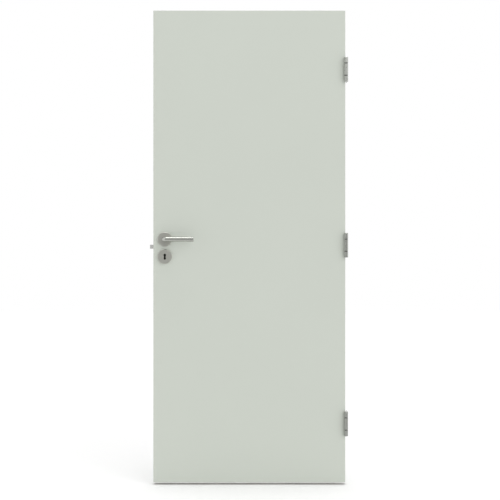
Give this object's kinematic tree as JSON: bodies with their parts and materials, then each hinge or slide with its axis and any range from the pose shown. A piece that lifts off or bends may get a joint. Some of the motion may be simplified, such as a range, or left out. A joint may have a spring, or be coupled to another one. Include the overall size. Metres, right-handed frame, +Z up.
{
  "type": "interior door",
  "caption": "Flush interior door leaf, hung on butt hinges, with a mortise lock, latch bolt and lever handles on round roses.",
  "frame": {"origin": "middle of the flat seat of the bottom hinge's frame wing", "axes": "+X from the lock edge towards the hinges and the frame, +Y from the face with the hinge barrels to the other face, +Z up"},
  "size_m": [0.8565, 0.165, 2.04],
  "materials": {
    "leaf_paint": "satin light grey paint",
    "edge_paint": "satin light grey paint",
    "timber": "planed softwood",
    "chipboard": "tubular chipboard",
    "furniture_steel": "satin stainless steel",
    "hinge_steel": "satin stainless steel",
    "ring_plastic": "dark nylon",
    "lock_zinc": "zinc plated steel",
    "bolt_steel": "nickel plated steel"
  },
  "bodies": {
    "frame_wings": {"hinge_bottom_frame_wing": "hinge_steel", "hinge_bottom_pin": "bolt_steel", "hinge_bottom_rings": "ring_plastic", "hinge_middle_frame_wing": "hinge_steel", "hinge_middle_pin": "bolt_steel", "hinge_middle_rings": "ring_plastic", "hinge_top_frame_wing": "hinge_steel", "hinge_top_pin": "bolt_steel", "hinge_top_rings": "ring_plastic"},
    "leaf": {"leaf_core": "chipboard", "leaf_lock_block": "timber", "leaf_lock_stile": "timber", "leaf_hinge_stile": "timber", "leaf_top_rail": "timber", "leaf_bottom_rail": "timber", "leaf_front_skin": "leaf_paint", "leaf_back_skin": "leaf_paint", "leaf_lock_band": "edge_paint", "leaf_hinge_band": "edge_paint", "leaf_top_band": "edge_paint", "lock_case": "lock_zinc", "lock_forend": "furniture_steel", "dead_bolt": "bolt_steel", "handle_rose_front": "furniture_steel", "handle_rose_back": "furniture_steel", "key_rose_front": "furniture_steel", "key_rose_back": "furniture_steel", "hinge_bottom_leaf_wing": "hinge_steel", "hinge_middle_leaf_wing": "hinge_steel", "hinge_top_leaf_wing": "hinge_steel"},
    "lever": {"lever_front": "furniture_steel", "lever_back": "furniture_steel", "lever_spindle": "lock_zinc", "lock_follower": "bolt_steel"},
    "latch": {"latch_bolt": "bolt_steel"}
  },
  "joints": [
    {"name": "leaf_swing", "type": "hinge", "parent": "frame_wings", "child": "leaf", "pos_m": [-0.0055, -0.027, 0], "axis": [0, 0, 1], "range_deg": [0, 175]},
    {"name": "lever_turn", "type": "hinge", "parent": "leaf", "child": "lever", "pos_m": [-0.788, 0.005, 0.796], "axis": [0, 1, 0], "range_deg": [0, 40], "stiffness_Nm_per_rad": 1.5, "springref_deg": -40.11},
    {"name": "latch_slide", "type": "slide", "parent": "leaf", "child": "latch", "axis": [1, 0, 0], "range_m": [0, 0.0156]}
  ],
  "couplings": [
    {"joint": "latch_slide", "follows": "lever_turn", "m_per_rad": 0.022202}
  ]
}
